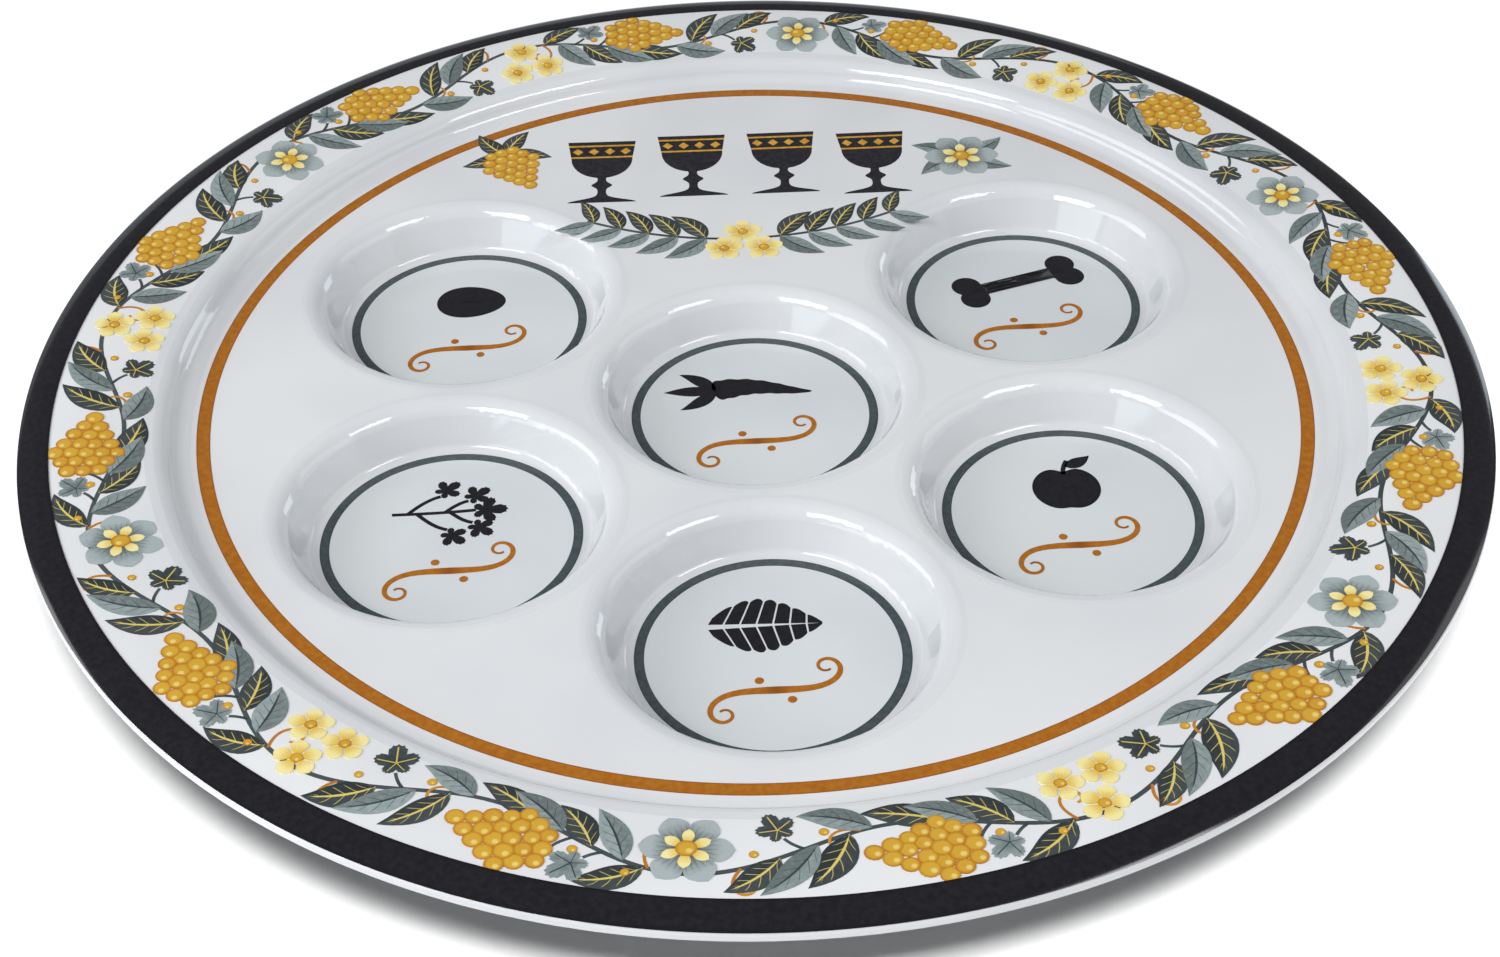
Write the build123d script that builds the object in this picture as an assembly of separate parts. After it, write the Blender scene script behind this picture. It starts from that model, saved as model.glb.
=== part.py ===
from build123d import *
import math
import os

# A round melamine seder plate: one moulded body with six wells, and printed foils moulded flush
# into its upper face. Millimetres, +Z up, origin on the table under the plate's centre.
# +Y points to the field's free place between two wells, -Y to the well nearest the guest.

# Wells: leaning walls, a round at the floor, a soft round at the mouth and a ring foot below
well_floor_diameter = 57.03
well_depth = 10.2
well_wall_lean = 25.0
well_floor_round = 2.2
well_mouth_round = 4.2
well_underside_round = 1.6
foot_inset = 5.1
foot_width = 3.0
foot_height = 0.8
foot_round = 0.3
# Even places on the ring, anticlockwise from the one nearest the guest, with one left free
ring_places = ("lettuce", "charoset", "shank_bone", None, "egg", "parsley")

# Field: the dished face between the wells and inside the step
web_between_wells = 1.5
field_border = 12.56
field_dish = 1.5

# Step and rim
step_run = 1.7
step_height = 4.3
step_foot_round = 3.0
shoulder_round = 3.6
rim_width = 28.8
rim_rise = 2.7
crown_inset = 4.4
lip_drop = 0.9
lip_edge_height = 2.1
lip_round = 0.7

# One wall thickness all over, and the printed foils set into it
wall = 2.6
foil_thickness = 0.3
well_foil_gap = 0.1
mouth_foil_gap = 0.35
field_foil_gap = 0.55
border_foil_inner_gap = 1.6
border_foil_outer_gap = 0.5

# Heights above the table
floor_height = foot_height + wall
field_height = floor_height + well_depth
shoulder_height = field_height + step_height
crown_height = shoulder_height + rim_rise
lip_height = crown_height - lip_drop
above_all = 2 * crown_height

# Angles, and how far a round of 1 mm reaches along each of the two faces that it joins
lean = math.radians(well_wall_lean)
step_angle = math.atan2(step_height, step_run)
rim_start_angle = math.pi - 2 * math.atan2(rim_width - crown_inset, rim_rise)
well_round_reach = math.tan((math.pi / 2 - lean) / 2)
step_foot_reach = math.tan(step_angle / 2)
shoulder_reach = math.tan((step_angle - rim_start_angle) / 2)

# Radii, worked outwards from the wells
wall_run = well_depth * math.tan(lean)
floor_radius = well_floor_diameter / 2
flat_floor_radius = floor_radius - well_floor_round * well_round_reach
under_floor_radius = floor_radius + wall * (1 / math.cos(lean) - math.tan(lean))
under_floor_round = well_floor_round + wall
mouth_radius = floor_radius + wall_run + well_mouth_round * well_round_reach
under_mouth_radius = under_floor_radius + wall_run + well_underside_round * well_round_reach
well_reach = max(mouth_radius, under_mouth_radius)
well_pitch = 2 * well_reach + web_between_wells
field_radius = well_pitch + well_reach + field_border
shoulder_radius = field_radius + step_run
plate_radius = shoulder_radius + rim_width
crown_radius = plate_radius - crown_inset

# Corners of the plate's half section, as radius and height
field_edge = (field_radius, field_height)
shoulder = (shoulder_radius, shoulder_height)
crown = (crown_radius, crown_height)
lip_top = (plate_radius, lip_height)
lip_bottom = (plate_radius, lip_height - lip_edge_height)
under_crown = (crown_radius, crown_height - wall)
under_shoulder = (
    shoulder_radius + wall * (math.sin(step_angle) - shoulder_reach * math.cos(step_angle)),
    shoulder_height - wall * (math.cos(step_angle) + shoulder_reach * math.sin(step_angle)),
)
under_field_edge = (field_radius + wall * step_foot_reach, field_height - wall)


def turned(outline):
    """Solid of revolution about the plate's axis from a face drawn in radius and height."""
    return revolve(Plane.XZ * outline, Axis.Z)


def dished_line(edge_radius, edge_height):
    """Shallow parabola, level on the plate's axis, that rises to the field's edge."""
    lowest = edge_height - field_dish
    return Bezier((0, lowest), (edge_radius / 2, lowest), (edge_radius, edge_height))


def rim_lines():
    """Two arcs, level where they meet at the crown: down to the shoulder, and out over the lip."""
    return [TangentArc(crown, shoulder, tangent=(-1, 0)), TangentArc(crown, lip_top, tangent=(1, 0))]


def circle_at(solid, radius, height):
    """The circular edge about the plate's axis that is nearest to a radius and a height."""
    rings = [edge for edge in solid.edges().filter_by(GeomType.CIRCLE) if edge.is_closed]
    return min(rings, key=lambda ring: math.dist((ring.radius, ring.arc_center.Z), (radius, height)))


def plain_dish():
    """The plate before its wells are sunk: dished field, step, crowned rim and rounded lip."""
    outline = Wire(
        [
            dished_line(*field_edge),
            Line(field_edge, shoulder),
            *rim_lines(),
            Line(lip_top, lip_bottom),
            Line(lip_bottom, under_crown),
            TangentArc(under_crown, under_shoulder, tangent=(-1, 0)),
            Line(under_shoulder, under_field_edge),
            dished_line(*under_field_edge),
            Line((0, field_height - wall - field_dish), (0, field_height - field_dish)),
        ]
    )
    solid = turned(Face(outline))
    edge_round = min(lip_round, 0.4 * lip_edge_height)
    rounds = (
        (field_edge, step_foot_round),
        (shoulder, shoulder_round),
        (lip_top, edge_round),
        (lip_bottom, edge_round),
        (under_field_edge, step_foot_round + wall),
    )
    for corner, radius in rounds:
        solid = fillet(circle_at(solid, *corner), radius)
    return solid


def rounded(points, rounds):
    """Closed outline through points, with some of its corners rounded to a radius of their own."""
    outline = Sketch() + Polygon(*points, align=None)
    for corner, radius in rounds:
        outline = fillet(outline.vertices().sort_by_distance(corner)[0], radius)
    return outline


def well_cup():
    """Outside of one well, not yet hollowed: ring foot, round floor edge and leaning wall."""
    foot_outer = under_floor_radius - under_floor_round * well_round_reach - foot_inset
    foot_inner = foot_outer - foot_width
    top = field_height - field_dish - wall / 2
    top_radius = under_floor_radius + (top - foot_height) * math.tan(lean)
    floor_edge = (under_floor_radius, foot_height)
    points = (
        (0, foot_height),
        (foot_inner, foot_height),
        (foot_inner, 0),
        (foot_outer, 0),
        (foot_outer, foot_height),
        floor_edge,
        (top_radius, top),
        (0, top),
    )
    foot_edge_round = min(foot_round, 0.4 * foot_width, 0.4 * foot_height)
    rounds = (
        (floor_edge, under_floor_round),
        ((foot_inner, 0), foot_edge_round),
        ((foot_outer, 0), foot_edge_round),
    )
    return turned(rounded(points, rounds))


def well_hollow():
    """The air in one well, from its floor to a little way above the field."""
    floor_edge = (floor_radius, floor_height)
    top = field_height + wall
    top_radius = floor_radius + (top - floor_height) * math.tan(lean)
    points = ((0, floor_height), floor_edge, (top_radius, top), (0, top))
    return turned(rounded(points, [(floor_edge, well_floor_round)]))


def new_rings_by_the_field(before, after):
    """Closed edges near the field that are on one solid and weren't on the solid it was made from."""
    half_way_up = (floor_height + field_height - field_dish) / 2
    old = before.edges()
    return [
        edge
        for edge in after.edges()
        if edge.is_closed and edge.center(CenterOf.BOUNDING_BOX).Z > half_way_up and edge not in old
    ]


def pillar(radius):
    """Tall round bar on the plate's axis, for trimming foils."""
    return Cylinder(radius, 2 * above_all)


def space_above(lines, inner, outer):
    """All that lies above some lines of the section once they are lowered by a foil's thickness."""
    low_lines = [Pos(0, -foil_thickness) * line for line in lines]
    low_inner = (inner[0], inner[1] - foil_thickness)
    low_outer = (outer[0], outer[1] - foil_thickness)
    top_inner = (inner[0], above_all)
    top_outer = (outer[0], above_all)
    walls = [Line(low_outer, top_outer), Line(top_outer, top_inner), Line(top_inner, low_inner)]
    return turned(Face(Wire(low_lines + walls)))


def at_wells(solid):
    """Copies of a solid made on the plate's axis, one at each well."""
    return [Pos(*place) * solid for place in well_places.values()]


well_places = {"bitter_herbs": (0, 0)}
for count, name in enumerate(ring_places):
    bearing = math.tau * count / len(ring_places)
    if name:
        well_places[name] = (well_pitch * math.sin(bearing), -well_pitch * math.cos(bearing))

# Moulded body: the dish, with the cups added below and then hollowed from above
dish = plain_dish()
cupped = dish + at_wells(well_cup())
cupped = fillet(new_rings_by_the_field(dish, cupped), well_underside_round)
body = cupped - at_wells(well_hollow())
body = fillet(new_rings_by_the_field(cupped, body), well_mouth_round)

# Room for each foil, open upwards, with its floor a foil's thickness below the moulded face
border_room = space_above(rim_lines(), shoulder, lip_top)
border_room &= pillar(plate_radius - lip_round - border_foil_outer_gap)
border_room -= pillar(shoulder_radius + shoulder_round * shoulder_reach + border_foil_inner_gap)
centre_room = space_above([dished_line(*field_edge)], (0, field_height - field_dish), field_edge)
centre_room &= pillar(field_radius - step_foot_round * step_foot_reach - field_foil_gap)
centre_room -= at_wells(pillar(mouth_radius + mouth_foil_gap))
well_foil = Pos(0, 0, floor_height) * Cylinder(
    flat_floor_radius - well_foil_gap, foil_thickness, align=(Align.CENTER, Align.CENTER, Align.MAX)
)

parts = {
    "border_foil": dish & border_room,
    "centre_foil": dish & centre_room,
}
for name, place in well_places.items():
    parts["well_foil_" + name] = Pos(*place) * well_foil
parts["plate_body"] = body - [border_room, centre_room, *at_wells(well_foil)]

os.makedirs("parts", exist_ok=True)
for name, solid in parts.items():
    export_step(solid, f"parts/{name}.step")
    size = [round(side, 2) for side in solid.bounding_box().size]
    print(name, "solids", len(solid.solids()), "volume", round(solid.volume), "size", size)
print("plate diameter", round(2 * plate_radius, 2), "height", round(crown_height, 2))
print("well pitch", round(well_pitch, 2), "mouth radius", round(mouth_radius, 2))
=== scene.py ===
# %% [markdown]
# # A printed seder plate
#
# The plate is one moulding of white melamine. Its decoration is printed on thin foils, which are
# cured into the upper face under a clear glaze. The imported model already holds the true shape, so
# this lesson adds what a mould can't give: the print, the gloss, and a table with soft light.
#
# The frame is loaded first, and the sizes of its parts are read from it where they are needed.

# %% Load the frame
import math

import bmesh
import bpy
import numpy as np
from mathutils import Matrix, Vector


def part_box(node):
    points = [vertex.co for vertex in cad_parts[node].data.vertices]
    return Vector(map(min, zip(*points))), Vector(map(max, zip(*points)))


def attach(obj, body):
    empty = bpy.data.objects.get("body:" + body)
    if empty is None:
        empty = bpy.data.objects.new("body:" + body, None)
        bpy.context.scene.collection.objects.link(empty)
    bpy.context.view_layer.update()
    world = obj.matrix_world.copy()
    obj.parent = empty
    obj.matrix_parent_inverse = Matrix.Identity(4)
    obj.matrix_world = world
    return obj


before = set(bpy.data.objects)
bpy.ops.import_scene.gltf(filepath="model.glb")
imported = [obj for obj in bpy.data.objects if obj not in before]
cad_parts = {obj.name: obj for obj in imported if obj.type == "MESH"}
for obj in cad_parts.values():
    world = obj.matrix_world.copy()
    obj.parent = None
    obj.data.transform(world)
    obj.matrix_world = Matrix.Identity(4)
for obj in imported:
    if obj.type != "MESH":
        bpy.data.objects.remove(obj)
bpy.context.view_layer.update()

MM = 0.001
rng = np.random.default_rng(seed=14)
print("nodes:", ", ".join(sorted(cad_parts)))

# %% [markdown]
# ## The faces that carry ink
#
# A foil follows the face that it is moulded into, so a drawing needs to know how high the plate is
# under each of its points. Rays could be cast onto the model one at a time, but the faces are plain
# turned shapes, and a short formula for each gives whole arrays of heights at once. All lengths
# here are in millimetres, and what the frame shows is read from it.

# %% Heights of the rim and the field
plate_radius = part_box("plate_body")[1].x / MM
crown_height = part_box("border_foil")[1].z / MM
floor_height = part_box("well_foil_egg")[1].z / MM
rim_width = 28.8
rim_rise = 2.7
crown_inset = 4.4
lip_drop = 0.9
field_radius = 121.9
field_edge_height = 13.6
field_dish = 1.5
rim_run = rim_width - crown_inset
crown_radius = plate_radius - crown_inset
rim_arc = (rim_run**2 + rim_rise**2) / (2 * rim_rise)
lip_arc = (crown_inset**2 + lip_drop**2) / (2 * lip_drop)


def rim_height(radius):
    """Height of the rim: an arc that rises outwards to the crown, then a tighter one over the lip."""
    past_crown = radius - crown_radius
    arc = np.where(past_crown < 0, rim_arc, lip_arc)
    return crown_height - arc + np.sqrt(arc**2 - past_crown**2)


def field_height(radius):
    """Height of the dished field: lowest on the axis, and rising with the square of the radius."""
    return field_edge_height - field_dish * (1 - (radius / field_radius) ** 2)


print("crown at radius", round(crown_radius, 1), "height", round(crown_height, 1))

# %% [markdown]
# A drawing is made on flat paper and then laid on its face. On the field and on the well floors
# that is a drop straight down. On the rim the paper is bent round the plate: the way along the
# paper becomes a bearing, clockwise, and the way up the paper becomes a radius.

# %% Laying a flat drawing on the plate
border_middle = 136.0


def on_field(drawing):
    """Flat places, dropped onto the field."""
    height = field_height(np.hypot(drawing[..., 0], drawing[..., 1]))
    return np.concatenate([drawing, height[..., None]], axis=-1)


def on_floor(drawing):
    """Flat places, dropped onto the well floors, which share one height."""
    height = np.full(drawing.shape[:-1] + (1,), floor_height)
    return np.concatenate([drawing, height], axis=-1)


def on_rim(drawing):
    """Paper bent round the rim: the first number is the way round, the second the way outwards."""
    bearing = math.pi / 2 - drawing[..., 0] / border_middle
    radius = border_middle + drawing[..., 1]
    places = [radius * np.cos(bearing), radius * np.sin(bearing), rim_height(radius)]
    return np.stack(places, axis=-1)


wells = {}
for node in sorted(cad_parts):
    if node.startswith("well_foil_"):
        low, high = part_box(node)
        wells[node.removeprefix("well_foil_")] = np.array((low + high) / (2 * MM))[:2]
print("wells:", {name: place.round(1).tolist() for name, place in wells.items()})

# %% [markdown]
# ## Ink as thin closed films
#
# Ink on a foil is a few hundredths of a millimetre thick. It could be painted by a mask in the
# plate's own material, but an outline made of geometry stays crisp at any distance and keeps its
# own finish. So each colour of each foil becomes one film, made of many small grids of points.
#
# A drawing is an array of copies of one grid, with a chart: two numbers from 0 to 1 that say where
# each point is within its motif. The first helpers lay such arrays on a face and string them
# together. Copies lie on a few levels in turn, so that no two faces that overlap share a plane.

# %% Grids strung together
level_lift = 0.002
levels = 12


def quads(rows, columns):
    """Corners of the faces of one grid, anticlockwise where columns turn left from rows."""
    corner = np.arange(rows * columns).reshape(rows, columns)
    sides = [corner[:-1, :-1], corner[1:, :-1], corner[1:, 1:], corner[:-1, 1:]]
    return np.stack(sides, axis=-1).reshape(-1, 4)


def gathered(drawings, face):
    """All grids of some drawings, laid on a face: places, corners, charts and one tone per copy."""
    places, corners, charts, tones = [], [], [], []
    first = 0
    for points, chart in drawings:
        copies, rows, columns = points.shape[:3]
        starts = first + rows * columns * np.arange(copies)
        corners.append((starts[:, None, None] + quads(rows, columns)).reshape(-1, 4))
        laid = face(points)
        laid[..., 2] += level_lift * (np.arange(copies) % levels)[:, None, None]
        places.append(laid.reshape(-1, 3))
        charts.append(np.broadcast_to(chart, points.shape).reshape(-1, 2))
        tones.append(np.repeat(rng.random(copies), rows * columns))
        first += copies * rows * columns
    return [np.concatenate(lists) for lists in (places, corners, charts, tones)]


print("first face of a grid of 3 by 4 points:", quads(3, 4)[0].tolist())

# %% [markdown]
# A film is welded where a grid closes on itself or comes to a point. Solidify then gives it a back,
# which reaches down into the foil so that no gap can show below the ink. The open edges are marked
# sharp, so that the shading of the thin side doesn't creep over the top. Where inks overprint, each
# layer lies a little above the one before.

# %% Films of ink
layer_lift = 0.025
film_depth = 0.15
weld_gap = 1e-6


def welded(mesh):
    """Join points that fall together, drop faces with no area, and mark the open edges sharp."""
    weld = bmesh.new()
    weld.from_mesh(mesh)
    bmesh.ops.remove_doubles(weld, verts=weld.verts, dist=weld_gap)
    bmesh.ops.dissolve_degenerate(weld, edges=weld.edges, dist=weld_gap)
    weld.to_mesh(mesh)
    weld.free()
    edges = np.empty(len(mesh.loops), dtype=np.int32)
    mesh.loops.foreach_get("edge_index", edges)
    open_edges = np.bincount(edges, minlength=len(mesh.edges)) == 1
    mesh.attributes.new("sharp_edge", "BOOLEAN", "EDGE").data.foreach_set("value", open_edges)


def ink(name, drawings, face, finish, layer=1):
    """One film of ink on the plate, with its chart as a UV map and its tones as an attribute."""
    places, corners, charts, tones = gathered(drawings, face)
    places[:, 2] += layer * layer_lift
    order = corners.ravel().astype(np.int32)
    loop_starts = np.arange(0, order.size, corners.shape[1], dtype=np.int32)
    mesh = bpy.data.meshes.new(name)
    mesh.vertices.add(len(places))
    mesh.vertices.foreach_set("co", (places * MM).astype(np.float32).ravel())
    mesh.loops.add(order.size)
    mesh.loops.foreach_set("vertex_index", order)
    mesh.polygons.add(len(corners))
    mesh.polygons.foreach_set("loop_start", loop_starts)
    mesh.update(calc_edges=True)
    chart = mesh.uv_layers.new(name="chart")
    chart.uv.foreach_set("vector", charts[order].astype(np.float32).ravel())
    tone = mesh.attributes.new("tone", "FLOAT", "POINT")
    tone.data.foreach_set("value", tones.astype(np.float32))
    mesh.shade_smooth()
    welded(mesh)
    mesh.materials.append(finish)
    piece = bpy.data.objects.new(name, mesh)
    bpy.context.scene.collection.objects.link(piece)
    film = piece.modifiers.new("film", "SOLIDIFY")
    film.thickness = (film_depth + layer * layer_lift) * MM
    film.offset = -1
    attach(piece, "root")
    print(name, "faces:", len(mesh.polygons))


print("a film stands", layer_lift, "mm proud and reaches", film_depth, "mm into its foil")

# %% [markdown]
# ## Finishes as arithmetic
#
# A material is a small sum over the surface: this much of one colour where that mask is 1. Nodes
# say the same thing with boxes and wires, so one class lets a socket take part in Python sums.
# Numbers go through Math nodes, and colours through Mix, because a Math node would turn them grey.

# %% A socket that can be reckoned with
class Shade:
    """A socket of a material's nodes that plain arithmetic can use."""

    def __init__(self, tree, socket=None):
        self.tree = tree
        self.socket = socket

    def node(self, kind, settings=None, sockets=None, result=0):
        """Add any node: its settings first, then the values or links of its sockets."""
        made = self.tree.nodes.new(kind)
        for name, setting in (settings or {}).items():
            setattr(made, name, setting)
        for name, value in (sockets or {}).items():
            if isinstance(value, Shade):
                self.tree.links.new(value.socket, made.inputs[name])
            else:
                made.inputs[name].default_value = value
        return Shade(self.tree, made.outputs[result])

    def math(self, operation, first, second=0.0):
        return self.node("ShaderNodeMath", {"operation": operation}, {0: first, 1: second})

    def __add__(self, other):
        return self.math("ADD", self, other)

    def __sub__(self, other):
        return self.math("SUBTRACT", self, other)

    def __rsub__(self, other):
        return self.math("SUBTRACT", other, self)

    def __mul__(self, other):
        return self.math("MULTIPLY", self, other)

    def __abs__(self):
        return self.math("ABSOLUTE", self)

    __radd__ = __add__
    __rmul__ = __mul__

    def part(self):
        """What is left of a number past its last whole number."""
        return self.math("FRACT", self)

    def slope(self, start, end):
        """0 before start and 1 past end, with a smooth slope between; start may be the larger."""
        ends = {"Value": self, "From Min": start, "From Max": end}
        return self.node("ShaderNodeMapRange", {"interpolation_type": "SMOOTHSTEP"}, ends)

    def between(self, low, high):
        """The colour that goes from low to high as this value goes from 0 to 1. A Mix node has a set
        of sockets for each type of data, and those for colours are numbers 6, 7 and 2."""
        ends = {0: self, 6: low, 7: high}
        return self.node("ShaderNodeMix", {"data_type": "RGBA"}, ends, result=2)


def colour(code):
    """Linear colour of a chip from a paint card, given as six hexadecimal digits, by the curve that
    screens share: a straight start, and a power from there on."""
    chip = np.array([int(code[start:start + 2], 16) for start in (0, 2, 4)]) / 255
    linear = np.where(chip <= 0.04045, chip / 12.92, ((chip + 0.055) / 1.055) ** 2.4)
    return (*linear.tolist(), 1.0)


print("a dark chip:", [round(part, 3) for part in colour("3A4144")])

# %% [markdown]
# Everything on the plate lies under the same clear glaze, so every finish starts from one glossy
# shader with the glaze's refraction. Its roughness wanders a little, as wiping leaves it, and a
# very shallow bump stands for the ripple that a pressed glaze keeps. Printed foil never takes quite
# the gloss of bare resin, so inks are a little rougher than whites.

# %% The glaze that all finishes share
glaze_refraction = 1.5
white_roughness = 0.045
ink_roughness = 0.1
wipe_size = 0.03
wipe_depth = 0.03
ripple_size = 0.004
ripple_height = 0.00002
ripple_strength = 0.25


def grain(shade, size, detail=2.0):
    """Soft noise from 0 to 1, with blotches of about the given size in metres."""
    place = shade.node("ShaderNodeTexCoord", result="Object")
    sockets = {"Vector": place, "Scale": 1 / size, "Detail": detail}
    return shade.node("ShaderNodeTexNoise", None, sockets, result="Fac")


def glazed(name, roughness):
    """A new material under the glaze: the material, its shader, and a Shade to start sums from."""
    material = bpy.data.materials.new(name)
    material.use_nodes = True
    shader = material.node_tree.nodes["Principled BSDF"]
    shader.inputs["IOR"].default_value = glaze_refraction
    shade = Shade(material.node_tree)
    wiped = roughness + wipe_depth * grain(shade, wipe_size)
    pressed = grain(shade, ripple_size, detail=1.0)
    bump = {"Strength": ripple_strength, "Distance": ripple_height, "Height": pressed}
    ripple = shade.node("ShaderNodeBump", None, bump)
    material.node_tree.links.new(wiped.socket, shader.inputs["Roughness"])
    material.node_tree.links.new(ripple.socket, shader.inputs["Normal"])
    return material, shader, shade


def coloured(material, shader, shade):
    """Join a colour to a finish's shader."""
    material.node_tree.links.new(shade.socket, shader.inputs["Base Color"])
    return material


print("roughness of whites:", white_roughness, "and of inks:", ink_roughness)

# %% [markdown]
# ## White melamine and blank foil
#
# Moulded melamine is a cool white that is never quite even: the resin flows from the middle, and
# its filler clouds a little on the way. A flat white would look like paint, so two whites and a
# broad noise do that. The foils are the same resin on paper, so their pairs differ only as painted
# light: the border's is the whitest, for the light on the rim; the body's and the centre foil's are
# a little darker, for painted shade on the field, the step and the walls; and that of the discs in
# the wells is the greyest and coolest, for painted shade in the wells.

# %% White finishes for the moulded body and the foils
cloud_size = 0.04
filler_size = 0.0006
filler_share = 0.15


def clouded_white(name, low, high):
    """Two whites in soft clouds, with a fine speckle of the lighter one for the filler."""
    material, shader, shade = glazed(name, white_roughness)
    clouds = grain(shade, cloud_size).slope(0.3, 0.7)
    speckle = grain(shade, filler_size).slope(0.3, 0.8)
    resin = clouds.between(colour(low), colour(high))
    return coloured(material, shader, (filler_share * speckle).between(resin, colour(high)))


# One white in lit and shaded copies: the border's paints the light on the rim, and the body's, the
# centre foil's and the discs' paint shade on the field, the walls and the wells.
melamine_white = clouded_white("melamine_white", "D2D4D7", "DADBDD")
lit_border_white = clouded_white("lit_border_white", "DBDCDE", "E3E4E5")
shaded_centre_white = clouded_white("shaded_centre_white", "D5D6D9", "DDDEE0")
shaded_disc_white = clouded_white("shaded_disc_white", "CCD0D3", "D4D8DA")
whites = {"plate_body": melamine_white, "border_foil": lit_border_white, "centre_foil": shaded_centre_white}
for name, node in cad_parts.items():
    node.material_slots[0].link = "OBJECT"
    node.material_slots[0].material = whites.get(name, shaded_disc_white)
print("white nodes:", len(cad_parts))

# %% [markdown]
# ## Stripes
#
# The plainest ink comes first: a black band out to the lip, an orange line round the field and a
# dark ring in each well. Screen-printed ink is a little uneven, so one flat colour would look too
# clean. Each ink is two shades mixed by a fine noise, with a trace more ink towards the edges of a
# stripe, where the screen leaves it.

# %% Inks for stripes
mottle_size = 0.0012
edge_start = 0.36


def stripe_ink(name, low, high, edge):
    """Two shades in a fine mottle; the chart's first number runs across the stripe."""
    material, shader, shade = glazed(name, ink_roughness)
    chart = shade.node("ShaderNodeUVMap", {"uv_map": "chart"})
    across = shade.node("ShaderNodeSeparateXYZ", None, {"Vector": chart}, result="X")
    mottle = grain(shade, mottle_size, detail=4.0).slope(0.3, 0.7)
    body = mottle.between(colour(low), colour(high))
    at_edge = abs(across - 0.5).slope(edge_start, 0.5)
    return coloured(material, shader, at_edge.between(body, colour(edge)))


black_ink = stripe_ink("black_ink", "19181C", "212025", "151418")
orange_ink = stripe_ink("orange_ink", "A05E16", "AD6D1F", "8E5014")
slate_ink = stripe_ink("slate_ink", "3E474A", "4A5356", "373F42")
print("stripe inks:", black_ink.name, orange_ink.name, slate_ink.name)

# %% [markdown]
# A stripe that lies on one foil is a flat ring. A circle with a bevel could draw it too, but a grid
# in radius and bearing also gives the chart that the ink needs. Its last column falls on its first,
# and the weld closes it there.

# %% Rings on flat paper
field_ring_inner = 114.8
field_ring_outer = 117.65
well_ring_inner = 24.8
well_ring_outer = 26.75


def ring(inner, outer, middle=(0.0, 0.0), rows=4, columns=241):
    """Flat ring: rows step from the inner radius to the outer one, columns go once round."""
    across = np.linspace(0, 1, rows)[:, None]
    around = np.linspace(0, math.tau, columns)[None, :]
    radius = inner + (outer - inner) * across
    points = np.stack([radius * np.cos(around), radius * np.sin(around)], axis=-1) + middle
    chart = np.stack(np.broadcast_arrays(across, around / math.tau), axis=-1)
    return points[None], chart


ink("field_ring", [ring(field_ring_inner, field_ring_outer)], on_field, orange_ink)
well_rings = [ring(well_ring_inner, well_ring_outer, place) for place in wells.values()]
ink("well_rings", well_rings, on_floor, slate_ink)

# %% [markdown]
# The glaze runs over the edges of the foils, so no joint shows on the real plate. The joint between
# two meshes would show as a broken line, so narrow rings in the body's own white stand for that
# skin. Round the field the ring goes on up the start of the step's foot, which is a round that
# leaves the field without a kink.

# %% Glaze over the edges of the field's foil and the discs
foot_round = 3.0
foot_start = 119.91
foot_lean = math.atan(2 * field_dish * foot_start / field_radius**2)
foot_middle = foot_start - foot_round * math.sin(foot_lean)
foot_level = field_height(foot_start) + foot_round * math.cos(foot_lean)
mouth_edge = 36.3
skin_reach = 0.35
skin_on_field = 1.1
skin_up_foot = 0.6
skin_gap = 0.05


def on_foot(drawing):
    """Flat places, dropped onto the field or, past its edge, onto the round of the step's foot."""
    radius = np.hypot(drawing[..., 0], drawing[..., 1])
    from_middle = np.maximum(radius, foot_start) - foot_middle
    up_the_round = foot_level - np.sqrt(foot_round**2 - from_middle**2)
    height = np.where(radius < foot_start, field_height(radius), up_the_round)
    return np.concatenate([drawing, height[..., None]], axis=-1)


mouth_span = (mouth_edge - skin_reach, mouth_edge + skin_reach)
disc_span = (well_ring_outer + skin_gap, well_ring_outer + skin_reach)
mouth_skins = [ring(*mouth_span, place) for place in wells.values()]
edge_skin = ring(foot_start - skin_on_field, foot_start + skin_up_foot, rows=9)
ink("field_glaze_skin", mouth_skins + [edge_skin], on_foot, melamine_white)
disc_skins = [ring(*disc_span, place) for place in wells.values()]
ink("well_glaze_skin", disc_skins, on_floor, melamine_white)

# %% [markdown]
# The black band goes on past the crown and turns over the lip's edge, so its face isn't a height
# above a flat place. Here the way outwards is measured along the section: over the rim it is the
# radius, and past the start of the lip's round it bends down along that round. The glaze's skin
# over the inner edge of the border's foil follows the same section.

# %% The black band and the lip's round
band_inner = 145.85
band_rows = 14
shoulder_end = 125.55
border_edge = 127.1
skin_rows = 6
lip_round = 0.7
lip_turn = math.radians(40)
round_middle = plate_radius - lip_round
round_reach = round_middle - crown_radius
round_level = crown_height - lip_arc + math.sqrt((lip_arc - lip_round) ** 2 - round_reach**2)
round_start = math.asin(round_reach / (lip_arc - lip_round))
round_radius = crown_radius + lip_arc * math.sin(round_start)
band_end = round_radius + lip_round * (lip_turn - round_start)


def on_lip(section):
    """Way outwards along the section, and bearing, laid on the rim and over the lip's round."""
    outwards, bearing = section[..., 0], section[..., 1]
    past = outwards > round_radius
    turn = round_start + np.maximum(outwards - round_radius, 0) / lip_round
    radius = np.where(past, round_middle + (lip_round + layer_lift) * np.sin(turn), outwards)
    over_rim = rim_height(np.minimum(radius, round_radius))
    height = np.where(past, round_level + lip_round * np.cos(turn), over_rim)
    return np.stack([radius * np.cos(bearing), radius * np.sin(bearing), height], axis=-1)


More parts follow.
